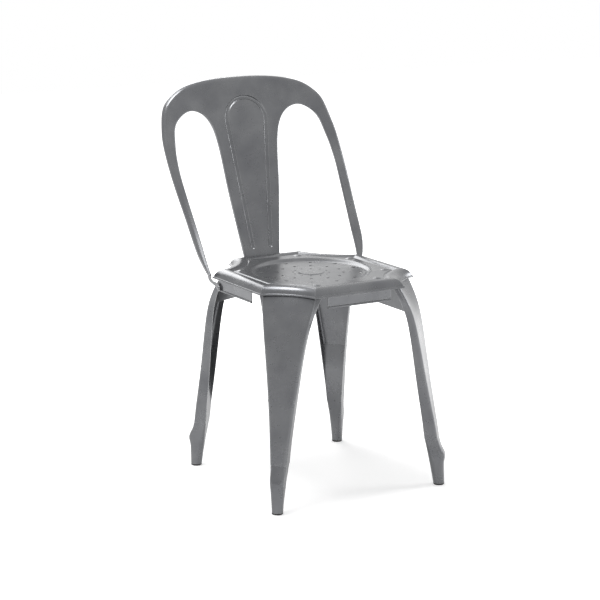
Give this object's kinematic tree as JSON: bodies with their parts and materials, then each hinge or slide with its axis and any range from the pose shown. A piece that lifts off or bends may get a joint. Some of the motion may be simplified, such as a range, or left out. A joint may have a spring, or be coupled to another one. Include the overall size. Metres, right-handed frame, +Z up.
{
  "type": "metal bistro chair",
  "caption": "Sheet-metal cafe chair with a pressed splat back, short curved arms, a dished perforated seat and tapered splayed legs.",
  "frame": {"origin": "on the floor, under the middle of the whole chair's box", "axes": "+Z up, -Y towards the front of the seat, +X to the right as seen from the front"},
  "size_m": [0.4308, 0.5278, 0.8255],
  "materials": {
    "painted_steel": "satin dark gunmetal coating over pressed steel",
    "brace_steel": "satin lighter grey coating over flat steel",
    "rivet_steel": "satin coated rivet heads",
    "glide_plastic": "matte moulded foot plug"
  },
  "bodies": {
    "root": {"seat_pan": "painted_steel", "apron_front": "painted_steel", "apron_rear": "painted_steel", "apron_right": "painted_steel", "apron_left": "painted_steel", "leg_front_left": "painted_steel", "leg_rear_left": "painted_steel", "leg_front_right": "painted_steel", "leg_rear_right": "painted_steel", "glide_front_left": "glide_plastic", "glide_rear_left": "glide_plastic", "glide_front_right": "glide_plastic", "glide_rear_right": "glide_plastic", "brace_left_front": "brace_steel", "brace_right_front": "brace_steel", "back_panel": "painted_steel", "arm_rivet_left": "rivet_steel", "arm_rivet_right": "rivet_steel", "splat_rivets": "rivet_steel"}
  },
  "joints": []
}
